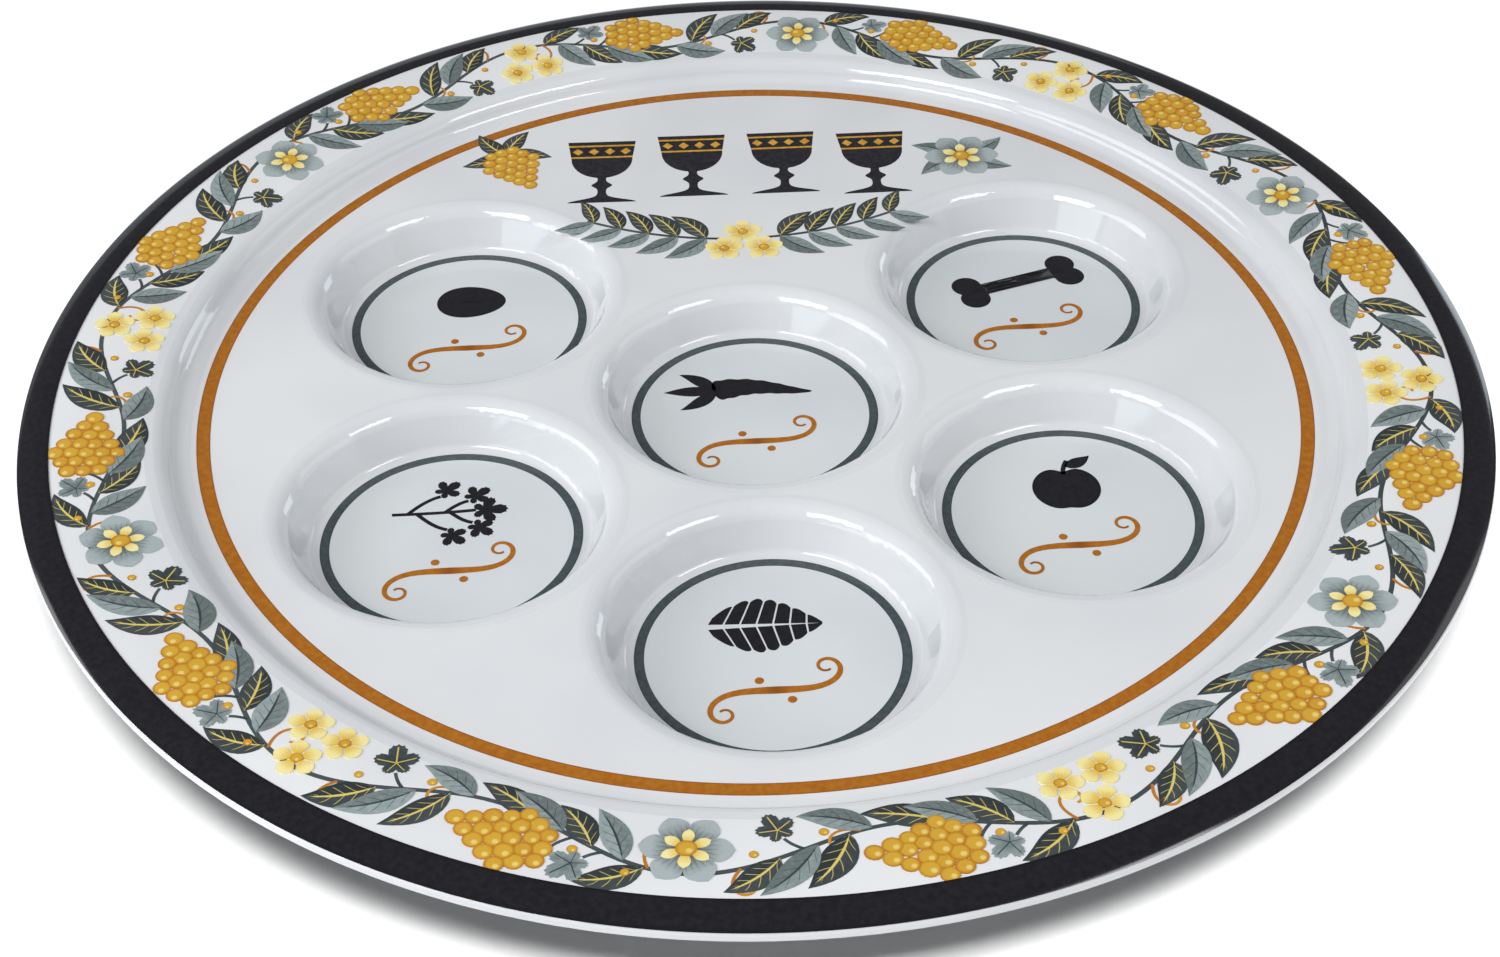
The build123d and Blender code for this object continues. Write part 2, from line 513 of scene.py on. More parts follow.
def rim_section(inner, outer, rows, columns=361):
    """Even steps outwards along the section from one place to another, carried once round."""
    across = np.linspace(0, 1, rows)[:, None]
    around = np.linspace(0, math.tau, columns)[None, :]
    outwards = inner + (outer - inner) * across
    points = np.stack(np.broadcast_arrays(outwards, around), axis=-1)
    chart = np.stack(np.broadcast_arrays(across, around / math.tau), axis=-1)
    return points[None], chart


rim_band = rim_section(band_inner, band_end, band_rows)
ink("rim_band", [rim_band], on_lip, black_ink, layer=8)
rim_skin = rim_section(shoulder_end, border_edge + skin_reach, skin_rows)
ink("rim_glaze_skin", [rim_skin], on_lip, melamine_white)

# %% [markdown]
# ## Motifs
#
# The border and the middle ornament are drawn with a handful of motifs: pointed leaves, lobed vine
# leaves, round grapes, and ribbons for stems and tendrils. Curves filled by Blender could draw them,
# but a formula in two numbers, one along the motif and one across it, also says where each point is
# within its leaf, which the ink needs. It takes arrays of sizes, so one call draws all copies.

# %% Pointed leaves and petals
def chart_of(rows, columns):
    """How far along and how far across each point of a grid is, from 0 to 1."""
    along, across = np.linspace(0, 1, rows), np.linspace(0, 1, columns)
    return np.stack(np.meshgrid(along, across, indexing="ij"), axis=-1)


def blades(length, width, bend, widest=0.42, fullness=1.0, rows=13, columns=5):
    """Leaves from the origin along +x, as seen from their chord.

    The middle line is an arc that turns by the bend over its length. The half width is a sine hump,
    shifted so that its top lies at the share widest of the length; a low fullness makes it blunter.
    """
    length, width, bend = np.broadcast_arrays(*np.atleast_1d(length, width, bend))
    length, width, bend = (size[:, None, None] for size in (length, width, bend))
    along = np.linspace(0, 1, rows)[None, :, None]
    across = np.linspace(-1, 1, columns)[None, None, :]
    heading = bend * (along - 0.5)
    arc = length / bend
    hump = np.sin(np.pi * along ** (math.log(0.5) / math.log(widest)))
    half = across * width / 2 * np.maximum(hump, 0) ** fullness
    x = arc * (np.sin(heading) + np.sin(bend / 2)) - half * np.sin(heading)
    y = arc * (np.cos(bend / 2) - np.cos(heading)) + half * np.cos(heading)
    return np.stack([x, y], axis=-1), chart_of(rows, columns)


def set_down(drawing, place, heading=0.0):
    """Turn each copy of a drawing by its heading, and move its origin to its place."""
    points, chart = drawing
    place = np.atleast_2d(place)[:, None, None, :]
    heading = np.atleast_1d(heading)[:, None, None]
    x = points[..., 0] * np.cos(heading) - points[..., 1] * np.sin(heading)
    y = points[..., 0] * np.sin(heading) + points[..., 1] * np.cos(heading)
    return np.stack([x, y], axis=-1) + place, chart


print("grid of a leaf:", blades(length=10.0, width=5.0, bend=0.5)[0].shape)

# %% [markdown]
# A vine leaf is a circle whose reach swells once for each lobe and carries fine teeth. A grape is a
# plain dot. Both are grids in reach and bearing, whose first row falls together in the middle.

# %% Lobed leaves and dots
stalk_pull = 0.22
tooth_count = 30
tooth_depth = 0.05


def lobed_leaves(radius, lobes=5, depth=0.45, rows=4, columns=91):
    """Leaves with their stalk at the origin. Round the leaf the reach swells once for each lobe,
    shrinks towards the stalk and carries fine teeth."""
    out = np.linspace(0, 1, rows)[:, None]
    around = np.linspace(-math.pi, math.pi, columns)[None, :]
    swell = 1 - depth + depth * np.abs(np.cos(lobes / 2 * around)) ** 0.7
    pull = 1 - stalk_pull + stalk_pull * np.cos(around)
    reach = swell * pull * (1 + tooth_depth * np.cos(tooth_count * around))
    flat = np.stack([0.5 + out * reach * np.cos(around), out * reach * np.sin(around)], axis=-1)
    chart = np.stack(np.broadcast_arrays(out, around / math.tau + 0.5), axis=-1)
    return np.atleast_1d(radius)[:, None, None, None] * flat, chart


def dots(radius, rows=3, columns=15):
    """Round dots about the origin; the chart is the flat place within the dot."""
    out = np.linspace(0, 1, rows)[:, None]
    around = np.linspace(0, math.tau, columns)[None, :]
    flat = np.stack([out * np.cos(around), out * np.sin(around)], axis=-1)
    return np.atleast_1d(radius)[:, None, None, None] * flat, 0.5 + 0.5 * flat


print("grids of a lobed leaf and a dot:", lobed_leaves(4.0)[0].shape, dots(1.0)[0].shape)

# %% [markdown]
# Stems, stalks and tendrils are pen strokes. A stroke is a path with a width to both sides of it,
# square to the way the path runs at each step, so its thickness stays true through every bend.

# %% Ribbons along a path
def ribbons(path, width, columns=3):
    """Strips of a given width carried along paths, path[copy, step], square to each path."""
    ahead = np.gradient(path, axis=1)
    ahead = ahead / np.linalg.norm(ahead, axis=-1, keepdims=True)
    left = np.stack([-ahead[..., 1], ahead[..., 0]], axis=-1)
    across = np.linspace(-0.5, 0.5, columns)[:, None]
    width = np.broadcast_to(width, path.shape[:2])[..., None, None]
    points = path[:, :, None, :] + across * width * left[:, :, None, :]
    return points, chart_of(path.shape[1], columns)


print("grid of a ribbon:", ribbons(np.array([[[0.0, 0.0], [5.0, 1.0], [9.0, 3.0]]]), 0.6)[0].shape)

# %% [markdown]
# Inks for the motifs follow the chart. A leaf has one half lighter than the other, a middle vein and
# slanting side veins, and a vine leaf has a vein along each lobe. They could be drawn as strips of
# their own, but as masks on the chart they bend with every leaf. A grain of about a millimetre
# gives the dry-brush look of the print, and each copy's tone shifts its shade a little.

# %% Inks for leaves
brush_size = 0.0011
leaf_vein_pairs = 6.0
leaf_vein_slant = 2.6
lobe_veins = 5


def charted(name):
    """A glazed ink with its chart's two numbers, its copy's tone and a brush grain."""
    material, shader, shade = glazed(name, ink_roughness)
    chart = shade.node("ShaderNodeUVMap", {"uv_map": "chart"})
    along = shade.node("ShaderNodeSeparateXYZ", None, {"Vector": chart}, result="X")
    across = shade.node("ShaderNodeSeparateXYZ", None, {"Vector": chart}, result="Y")
    tone = shade.node("ShaderNodeAttribute", {"attribute_name": "tone"}, result="Fac")
    brush = grain(shade, brush_size, detail=5.0)
    return material, shader, along, across, tone, brush


def leaf_ink(name, dark, light, vein):
    """Two halves in two shades, a middle vein that thins out, and slanting side veins."""
    material, shader, along, across, tone, brush = charted(name)
    from_middle = abs(across - 0.5)
    halves = across.slope(0.47, 0.53) * 0.6 + brush.slope(0.35, 0.75) * 0.35 + (tone - 0.5) * 0.4
    body = halves.between(colour(dark), colour(light))
    middle_vein = from_middle.slope(0.055, 0.03) * along.slope(0.92, 0.8)
    slant = (along * leaf_vein_pairs - from_middle * leaf_vein_slant).part()
    side_veins = abs(slant - 0.5).slope(0.07, 0.03)
    side_veins = side_veins * from_middle.slope(0.42, 0.3) * along.slope(0.9, 0.75)
    return coloured(material, shader, (middle_vein + side_veins * 0.7).between(body, colour(vein)))


def lobed_ink(name, dark, light, vein):
    """Shades that pale outwards, with one vein along the middle of each of five lobes."""
    material, shader, along, across, tone, brush = charted(name)
    shades = along * 0.5 + brush.slope(0.35, 0.75) * 0.4 + (tone - 0.5) * 0.3
    body = shades.between(colour(dark), colour(light))
    round_lobes = (across - 0.5) * (lobe_veins * math.pi)
    off_lobe = abs(round_lobes.math("SINE", round_lobes)) * along
    veins = off_lobe.slope(0.1, 0.05) * along.slope(0.9, 0.8)
    return coloured(material, shader, veins.between(body, colour(vein)))


dark_leaf = leaf_ink("dark_leaf_ink", "2F3639", "454D50", "D8C46A")
grey_leaf = leaf_ink("grey_leaf_ink", "66716F", "98A4A4", "3A4346")
grey_vine_leaf = lobed_ink("grey_vine_leaf_ink", "626D6D", "9AA6A6", "394245")
dark_vine_leaf = lobed_ink("dark_vine_leaf_ink", "2E3538", "4B5457", "CDB95F")
print("leaf inks:", dark_leaf.name, grey_leaf.name, grey_vine_leaf.name, dark_vine_leaf.name)

# %% [markdown]
# A petal pales towards its tip and carries fine streaks. A grape is a gold ball: orange towards its
# rim, with a pale spot where light would fall. Stems and tendrils use the petals' ink in dark and
# in gold, so that they too change a little along their way.

# %% Inks for petals, grapes and lines
streak_count = 5.0
shine_along = 0.36
shine_across = 0.64


def petal_ink(name, base, tip, streak):
    """From the base's shade to the tip's, with fine streaks that fade outwards."""
    material, shader, along, across, tone, brush = charted(name)
    shades = along.slope(0.05, 0.85) + (brush - 0.5) * 0.5 + (tone - 0.5) * 0.3
    body = shades.between(colour(base), colour(tip))
    rays = abs((across * streak_count).part() - 0.5).slope(0.16, 0.05)
    fading_rays = rays * along.slope(0.7, 0.3) * 0.7
    return coloured(material, shader, fading_rays.between(body, colour(streak)))


def grape_ink(name, gold, shadow, shine):
    """A ball's shades: gold, darker round the rim, with a pale spot up to one side."""
    material, shader, along, across, tone, brush = charted(name)
    from_middle = ((along - 0.5) * (along - 0.5) + (across - 0.5) * (across - 0.5)) * 4.0
    off_along, off_across = along - shine_along, across - shine_across
    spot = (off_along * off_along + off_across * off_across).slope(0.035, 0.008) * 0.75
    rim = from_middle.slope(0.3, 0.95) + (tone - 0.5) * 0.5 + (brush - 0.5) * 0.6
    body = rim.between(colour(gold), colour(shadow))
    return coloured(material, shader, spot.between(body, colour(shine)))


grey_petal = petal_ink("grey_petal_ink", "5A6566", "A7B1B2", "465052")
yellow_petal = petal_ink("yellow_petal_ink", "E0BE4C", "F0E3A0", "CFA23A")
gold_grape = grape_ink("gold_grape_ink", "CFA236", "B87A20", "EAD37E")
dark_line = petal_ink("dark_line_ink", "3A4245", "4A5355", "31383B")
gold_line = petal_ink("gold_line_ink", "B8741F", "C98D2C", "A9651B")
print("other inks:", grey_petal.name, yellow_petal.name, gold_grape.name, dark_line.name, gold_line.name)

# %% [markdown]
# ## A grapevine round the rim
#
# The border is a running scroll: one stem that waves in and out all the way round, with a motif in
# each bend. Twelve waves close on themselves, so the pattern has no seam. Everything that hangs on
# the stem is placed by its phase, counted in waves, and set out on flat paper first.

# %% The waving stem
wave_count = 12
wave_length = math.tau * border_middle / wave_count
wave_reach = 4.8
stem_width = 0.9
waves = np.arange(wave_count)


def scroll(phase):
    """Place and heading of the stem, a sine wave, at phases counted in waves."""
    place = np.stack([phase * wave_length, wave_reach * np.sin(math.tau * phase)], axis=-1)
    heading = np.arctan(wave_reach * math.tau / wave_length * np.cos(math.tau * phase))
    return place, heading


def stem(steps=40, columns=3):
    """The stem's strip: points to both sides of the wave, square to its heading."""
    place, heading = scroll(np.linspace(0, wave_count, steps * wave_count + 1))
    left = np.stack([-np.sin(heading), np.cos(heading)], axis=-1)
    across = stem_width * np.linspace(-0.5, 0.5, columns)[:, None]
    return (place[:, None, :] + across * left[:, None, :])[None], chart_of(len(place), columns)


print("length of one wave:", round(wave_length, 1), "mm")

# %% [markdown]
# A side shoot starts on the stem and ends a stated way ahead, at a stated way up the paper. Stalks
# are shoots drawn as ribbons, and leaves are shoots drawn as blades. Each wave gets the same list,
# with a small change of its own, since a row of perfect copies looks stamped.

# %% Leaves on the stem
leaf_wander = 0.7
leaf_width = 5.6
width_spread = 0.1


def shoots(phase, ahead, height, wander):
    """Start, length and heading of one shoot in each wave, each moved a little at random."""
    start = scroll(waves + phase)[0]
    tip = np.stack([start[:, 0] + ahead, np.full(wave_count, height)], axis=-1)
    reach = tip + wander * rng.uniform(-1, 1, tip.shape) - start
    return start, np.hypot(*reach.T), np.arctan2(reach[:, 1], reach[:, 0])


def leaf_row(phase, ahead, height, bend):
    """One leaf in each wave, from the stem to its tip, with the bend of its middle line."""
    start, length, heading = shoots(phase, ahead, height, leaf_wander)
    width = leaf_width * rng.uniform(1 - width_spread, 1 + width_spread, wave_count)
    return set_down(blades(length, width, bend), start, heading)


dark_rows = [
    leaf_row(phase=0.34, ahead=11.0, height=8.9, bend=-0.7),
    leaf_row(phase=0.47, ahead=9.0, height=-8.4, bend=0.6),
    leaf_row(phase=0.62, ahead=14.0, height=-8.5, bend=0.5),
    leaf_row(phase=0.86, ahead=8.0, height=8.8, bend=-0.6),
    leaf_row(phase=1.03, ahead=9.0, height=9.0, bend=-0.6),
]
grey_rows = [
    leaf_row(phase=0.39, ahead=6.5, height=-8.4, bend=0.5),
    leaf_row(phase=0.55, ahead=12.0, height=-8.5, bend=0.6),
    leaf_row(phase=0.80, ahead=13.0, height=-8.4, bend=0.7),
    leaf_row(phase=0.94, ahead=9.5, height=9.0, bend=-0.5),
]
ink("border_stem", [stem()], on_rim, dark_line)
ink("border_dark_leaves", dark_rows, on_rim, dark_leaf, layer=2)
ink("border_grey_leaves", grey_rows, on_rim, grey_leaf, layer=3)

# %% [markdown]
# Vine leaves stand off the stem on thin stalks. The stalk and its leaf are given the same phase and
# the same tip, and don't wander, so that they always meet. Only the leaf's size and turn vary.

# %% Vine leaves on stalks
stalk_width = 0.6
no_wander = 0.0
size_spread = 0.08
turn_spread = 0.25


def stalk_row(phase, ahead, height, bend, steps=9):
    """One thin stalk in each wave: a blade's middle line, drawn as a ribbon of even width."""
    start, length, heading = shoots(phase, ahead, height, no_wander)
    lines = set_down(blades(length, 0.0, bend, rows=steps, columns=1), start, heading)[0]
    return ribbons(lines[:, :, 0, :], stalk_width)


def vine_leaf_row(phase, ahead, height, radius, heading):
    """One lobed leaf in each wave at the end of its stalk, turned a little at random."""
    start, length, aim = shoots(phase, ahead, height, no_wander)
    tip = start + length[:, None] * np.stack([np.cos(aim), np.sin(aim)], axis=-1)
    size = radius * rng.uniform(1 - size_spread, 1 + size_spread, wave_count)
    turn = rng.uniform(-turn_spread, turn_spread, wave_count)
    return set_down(lobed_leaves(size), tip, heading + turn)


stalks = [
    stalk_row(phase=0.44, ahead=3.0, height=3.6, bend=0.5),
    stalk_row(phase=0.97, ahead=3.5, height=-3.6, bend=-0.5),
    stalk_row(phase=0.52, ahead=3.5, height=3.2, bend=0.6),
]
grey_vines = [vine_leaf_row(phase=0.44, ahead=3.0, height=3.6, radius=4.2, heading=0.7)]
dark_vines = [vine_leaf_row(phase=0.97, ahead=3.5, height=-3.6, radius=4.6, heading=-0.9)]
ink("border_stalks", stalks, on_rim, dark_line)
ink("border_grey_vine_leaves", grey_vines, on_rim, grey_vine_leaf, layer=4)
ink("border_dark_vine_leaves", dark_vines, on_rim, dark_vine_leaf, layer=4)

# %% [markdown]
# A bunch of grapes is a few rows of dots, widest near its shoulders and ending in one grape. Each
# row sits in the gaps of the row before. A hand that draws grapes never sets two alike, so each is
# a little off its place and size. The bunches hang in the outward bends of the stem.

# %% Bunches of grapes
grape_radius = 1.75
grape_step = 2.75
grape_gap = 3.05
grape_wander = 0.12
grape_rows = (3, 4, 5, 4, 3, 2, 1)
bunch_phase = 0.58
bunch_rise = 3.2
bunch_lean = math.radians(-8)
bunch_swing = 0.06


def bunch(scale):
    """Places of the grapes in one bunch that starts at the origin and hangs along +x."""
    rows = []
    for row, count in enumerate(grape_rows):
        sideways = (np.arange(count) - (count - 1) / 2) * grape_gap
        rows.append(np.stack([np.full(count, row * grape_step), sideways], axis=-1))
    return scale * np.concatenate(rows)


def bunches(start, heading, scale=1.0):
    """Dots for the grapes of several bunches, each grape a little off its place and size."""
    grapes = bunch(scale)
    turn = np.stack([np.cos(heading), np.sin(heading)], axis=-1)[:, None, :]
    side = np.stack([-np.sin(heading), np.cos(heading)], axis=-1)[:, None, :]
    places = start[:, None, :] + grapes[:, :1] * turn + grapes[:, 1:] * side
    places = (places + rng.normal(0, grape_wander, places.shape)).reshape(-1, 2)
    sizes = rng.uniform(1 - size_spread, 1 + size_spread, len(places))
    return set_down(dots(scale * grape_radius * sizes), places)


bunch_start = np.stack([(waves + bunch_phase) * wave_length, np.full(wave_count, bunch_rise)], axis=-1)
bunch_heading = bunch_lean + rng.uniform(-bunch_swing, bunch_swing, wave_count)
border_grapes = bunches(bunch_start, bunch_heading)
ink("border_grapes", [border_grapes], on_rim, gold_grape, layer=5)

# %% [markdown]
# The inward bends hold flowers, in turn a large grey rosette and three small yellow blossoms. A
# flower is petals set round a heart, and a petal is a blade with its widest part far out. A rosette
# has a second, narrower set of petals in yellow, turned to lie between those below.

# %% Rosettes and blossoms
rosette_petals = 6
blossom_petals = 5
star_turn = 0.52
blossom_turn = 0.3
petal_inset = 0.12
petal_bend = 0.02
flower_phase = 0.25
flower_rise = -0.9


def petals(middles, count, length, width, turn=0.0):
    """Petals round each middle: blades at even headings that start a little way out."""
    heading = turn + math.tau * np.arange(count) / count
    start = petal_inset * length * np.stack([np.cos(heading), np.sin(heading)], axis=-1)
    places = (np.atleast_2d(middles)[:, None, :] + start).reshape(-1, 2)
    headings = np.tile(heading, len(np.atleast_2d(middles)))
    blade = blades((1 - petal_inset) * length, width, petal_bend, widest=0.62, fullness=0.75)
    return set_down(blade, places, headings)


flower_along = (waves + flower_phase) * wave_length
flower_middle = np.stack([flower_along, np.full(wave_count, flower_rise)], axis=-1)
rosettes = flower_middle[::2]
blossom_offsets = np.array([[-4.2, -3.7], [4.2, -3.7], [0.0, 3.9]])
blossoms = (flower_middle[1::2, None, :] + blossom_offsets).reshape(-1, 2)
rosette_films = [petals(rosettes, rosette_petals, length=8.2, width=5.6)]
blossom_films = [
    petals(blossoms, blossom_petals, length=4.4, width=3.3, turn=blossom_turn),
    petals(rosettes, rosette_petals, length=4.6, width=2.2, turn=star_turn),
]
hearts = [set_down(dots(radius=1.9), rosettes), set_down(dots(radius=1.15), blossoms)]
ink("border_rosettes", rosette_films, on_rim, grey_petal, layer=5)
ink("border_blossoms", blossom_films, on_rim, yellow_petal, layer=6)
ink("border_hearts", hearts, on_rim, gold_grape, layer=7)

# %% [markdown]
# Tendrils fill what is left. A tendril is a spiral whose heading turns faster towards its tip. No
# plain formula gives its places, so they are found by adding up short steps along that heading.
# Small buds sit close to the stem.

# %% Tendrils and buds
tendril_width = 0.55


def curls(length, turn, power=2, steps=25):
    """Paths from the origin along +x whose heading grows with a power of the way along."""
    along = np.linspace(0, 1, steps)
    heading = np.atleast_1d(turn)[:, None] * along**power
    step = np.stack([np.cos(heading), np.sin(heading)], axis=-1) / (steps - 1)
    path = np.cumsum(step, axis=1) - step[:, :1]
    return np.atleast_1d(length)[:, None, None] * path


def tendril_row(phase, side, length, turn):
    """One tendril in each wave that leaves the stem to one side and curls up."""
    place, heading = scroll(waves + phase)
    paths = curls(np.full(wave_count, length), np.full(wave_count, turn))
    return set_down(ribbons(paths, tendril_width), place, heading + side)


def bud_row(phase, away, radius):
    """One bud in each wave, a stated way off the stem."""
    place, heading = scroll(waves + phase)
    left = np.stack([-np.sin(heading), np.cos(heading)], axis=-1)
    return set_down(dots(np.full(wave_count, radius)), place + away * left)


tendrils = [
    tendril_row(phase=0.33, side=-0.9, length=13.0, turn=-5.0),
    tendril_row(phase=0.83, side=-0.5, length=12.0, turn=5.0),
    tendril_row(phase=0.12, side=0.7, length=11.0, turn=5.0),
]
buds = [
    bud_row(phase=0.50, away=2.3, radius=0.9),
    bud_row(phase=0.91, away=-2.2, radius=0.9),
    bud_row(phase=1.08, away=-2.4, radius=0.8),
    bud_row(phase=0.37, away=2.2, radius=0.8),
]
ink("border_tendrils", tendrils, on_rim, gold_line)
ink("border_buds", buds, on_rim, gold_grape, layer=4)

# %% [markdown]
# ## Four cups at the head of the field
#
# The free place at the back of the field carries the plate's largest ornament. Four black goblets
# stand in a row, for the four cups of the evening, with fruit and a flower beside them and two leafy
# sprays below. A goblet is a half width at each height, as a turner would gauge it, so it needs only
# one formula.

# %% Goblets
goblet_places = np.array([[-33.0, 70.0], [-11.0, 71.5], [11.0, 71.5], [33.0, 70.0]])
goblet_height = 26.0
goblet_stem = 1.0
goblet_foot, goblet_foot_rise = 7.2, 1.7
knop_half, knop_height, knop_rise = 1.5, 7.2, 1.1
bowl_half, bowl_height, bowl_depth = 7.4, 18.5, 8.2
brim_flare = 0.12


def goblet(rows=66, columns=5):
    """Standing goblet. Its half width is a foot and a knop, which are two humps on a thin stem, or
    the bowl if that is wider: a quarter ellipse that goes over into a slight flare."""
    height = np.linspace(0, goblet_height, rows)[:, None]
    foot = goblet_foot * np.exp(-((height / goblet_foot_rise) ** 2))
    knop = knop_half * np.exp(-(((height - knop_height) / knop_rise) ** 2))
    below_bowl = np.clip((bowl_height - height) / bowl_depth, 0, 1)
    flare = brim_flare * np.maximum(height - bowl_height, 0)
    bowl = bowl_half * np.sqrt(1 - below_bowl**2) + flare
    half = np.maximum(goblet_stem + foot + knop, bowl)
    across = np.linspace(1, -1, columns)
    points = np.stack([half * across, np.broadcast_to(height, (rows, columns))], axis=-1)
    return points[None], chart_of(rows, columns)


cups = set_down(goblet(), goblet_places)
print("goblets:", len(cups[0]), "each", goblet_height, "mm tall")

# %% [markdown]
# The gold trim below the brim could be films of its own. As a mask on the chart it follows the
# bowl's flare by itself, and it prints in register with the black.

# %% Ink for the goblets
upper_line = 0.93
lower_line = 0.74
lozenge_row = 0.835
lozenge_count = 4.0


def cup_ink(name):
    """Black with two gold lines below the brim and gold lozenges between them."""
    material, shader, along, across, _, brush = charted(name)
    body = brush.slope(0.3, 0.7).between(colour("1D1C21"), colour("2B2A30"))
    gold = brush.slope(0.3, 0.7).between(colour("C0862A"), colour("D3A640"))
    upper = abs(along - upper_line).slope(0.016, 0.010)
    lower = abs(along - lower_line).slope(0.016, 0.010)
    off_lozenge = abs((across * lozenge_count).part() - 0.5) * 0.16 + abs(along - lozenge_row)
    trim = upper + lower + off_lozenge.slope(0.058, 0.048)
    return coloured(material, shader, trim.between(body, gold))


ink("field_cups", [cups], on_field, cup_ink("cup_ink"))

# %% [markdown]
# The sprays reuse the border's motifs. Leaves sit in pairs along a bent twig, and get shorter
# towards its tip. The twig on the left is the mirror image of the one on the right, which turns its
# faces over, so the mirrored grids are read backwards.

# %% Sprays below the goblets
spray_root = np.array([4.0, 53.5])
spray_length = 33.0
spray_pairs = np.linspace(0.14, 0.95, 5)
spray_leaf = 13.0
spray_taper = 3.5
spray_leaf_share = 0.42
spray_leaf_bend = 0.6
spray_spread = 0.75


def twig(along):
    """Place and heading on a twig that starts level and lifts as it goes outwards."""
    heading = 0.05 + 0.45 * along
    x = spray_root[0] + spray_length * along * np.cos(0.2 * along)
    y = spray_root[1] + spray_length * (0.05 * along + 0.22 * along**2)
    return np.stack([x, y], axis=-1), heading


def mirrored(drawing):
    """A drawing with its mirror image left of the middle; grids are turned over to stay face up."""
    points, chart = drawing
    other = points[:, :, ::-1] * (-1, 1)
    return [(points, chart), (other, chart)]


def spray_leaves(side):
    """The leaves to one side of the right-hand twig, shorter towards its tip."""
    place, heading = twig(spray_pairs)
    size = spray_leaf - spray_taper * spray_pairs
    leaves = blades(size, spray_leaf_share * size, -spray_leaf_bend * side)
    return set_down(leaves, place, heading + spray_spread * side)


twig_path = twig(np.linspace(0, 1, 25))[0][None]
twigs = mirrored(ribbons(twig_path, width=0.8))
ink("field_twigs", twigs, on_field, dark_line)

# %% [markdown]
# A bunch of grapes closes the row of goblets on the left and a rosette on the right, each on a few
# leaves, and three blossoms cover the place where the twigs meet.

# %% Fruit and flowers on the field
fruit_place = np.array([[-57.5, 92.0]])
fruit_lean = np.radians([-62.0])
fruit_leaf_place = fruit_place + [(1.0, -0.5)]
fruit_leaf_headings = np.radians([-8, 62, 128, 205])
flower_place = np.array([[54.5, 84.0]])
flower_leaf_headings = np.radians([35, 155, 215, 335])
sprig_middles = np.array([[0.0, 56.0], [-4.6, 49.6], [4.6, 49.6]])

fruit_blades = blades(length=11.5, width=5.0, bend=-0.5)
fruit_leaves = set_down(fruit_blades, fruit_leaf_place, fruit_leaf_headings)
flower_blades = blades(length=13.0, width=5.4, bend=0.5)
flower_leaves = set_down(flower_blades, flower_place, flower_leaf_headings)
dark_spray = mirrored(spray_leaves(1)) + [fruit_leaves]
grey_spray = mirrored(spray_leaves(-1)) + [flower_leaves]
ink("field_dark_leaves", dark_spray, on_field, dark_leaf, layer=2)
ink("field_grey_leaves", grey_spray, on_field, grey_leaf, layer=3)
field_grapes = bunches(fruit_place, fruit_lean, scale=0.95)
ink("field_grapes", [field_grapes], on_field, gold_grape, layer=4)
field_rosette = petals(flower_place, rosette_petals, length=9.0, width=6.0)
ink("field_rosette", [field_rosette], on_field, grey_petal, layer=4)
field_blossoms = [
    petals(sprig_middles, blossom_petals, length=4.6, width=3.4, turn=blossom_turn),
    petals(flower_place, rosette_petals, length=5.0, width=2.4, turn=star_turn),
]
ink("field_blossoms", field_blossoms, on_field, yellow_petal, layer=5)
field_hearts = [set_down(dots(radius=1.2), sprig_middles), set_down(dots(radius=2.0), flower_place)]
ink("field_hearts", field_hearts, on_field, gold_grape, layer=6)

# %% [markdown]
# ## A sign for the food in each well
#
# Each well says what goes into it, and plain black signs do that at a glance: an egg, a bone, an
# apple, a leaf, a root and a sprig. A filled curve could draw them, but its triangles would be long
# slivers. An outline that is filled in even steps towards a short spine gives a clean grid.

# %% Signs with one outline: egg, bone and apple
sign_rows = 5
egg_half_length, egg_half_breadth, egg_spine = 6.2, 4.6, 1.6
egg_bluntness = 0.14
knuckle_radius, knuckle_out, knuckle_up = 2.7, 9.4, 2.0
knuckle_start, knuckle_end = -47.8, 190.0
bone_spine = 8.9
apple_radius = 5.2
apple_cheeks = 0.07


def filled(outline, spine=0.0):
    """Solid shape within an anticlockwise outline: straight steps from the spine, a level line of
    half length spine through the origin, out to the outline."""
    root = np.stack([np.clip(outline[:, 0], -spine, spine), np.zeros(len(outline))], axis=-1)
    out = np.linspace(0, 1, sign_rows)[:, None, None]
    return (root + out * (outline - root))[None], chart_of(sign_rows, len(outline))


def egg(columns=61):
    """An oval that is blunter at one end."""
    around = np.linspace(0, math.tau, columns)
    half_breadth = egg_half_breadth * (1 - egg_bluntness * np.cos(around))
    outline = np.stack([egg_half_length * np.cos(around), half_breadth * np.sin(around)], axis=-1)
    return filled(outline, egg_spine)


def bone(steps=22):
    """A bar with two round knuckles at each end: one quarter is an arc, mirrored for the others. The
    arc runs, in degrees, from the level line round to the bar."""
    around = np.radians(np.linspace(knuckle_start, knuckle_end, steps))
    arc = np.stack([np.cos(around), np.sin(around)], axis=-1)
    knuckle = np.array([knuckle_out, knuckle_up]) + knuckle_radius * arc
    upper = np.concatenate([knuckle, knuckle[::-1] * (-1, 1)])
    return filled(np.concatenate([upper, upper[-2::-1] * (1, -1)]), bone_spine)


def apple(columns=81):
    """A circle that is dented deeply above and a little below, with slightly full cheeks."""
    around = np.linspace(-math.pi / 2, 1.5 * math.pi, columns)
    from_top = around - math.pi / 2
    dent = 0.22 * np.exp(-((from_top / 0.34) ** 2))
    base = 0.08 * np.exp(-(((np.abs(from_top) - math.pi) / 0.3) ** 2))
    reach = apple_radius * (1 - dent - base) * (1 + apple_cheeks * np.abs(np.cos(around)))
    return filled(np.stack([reach * np.cos(around), reach * np.sin(around)], axis=-1))


print("grid of the bone:", bone()[0].shape)

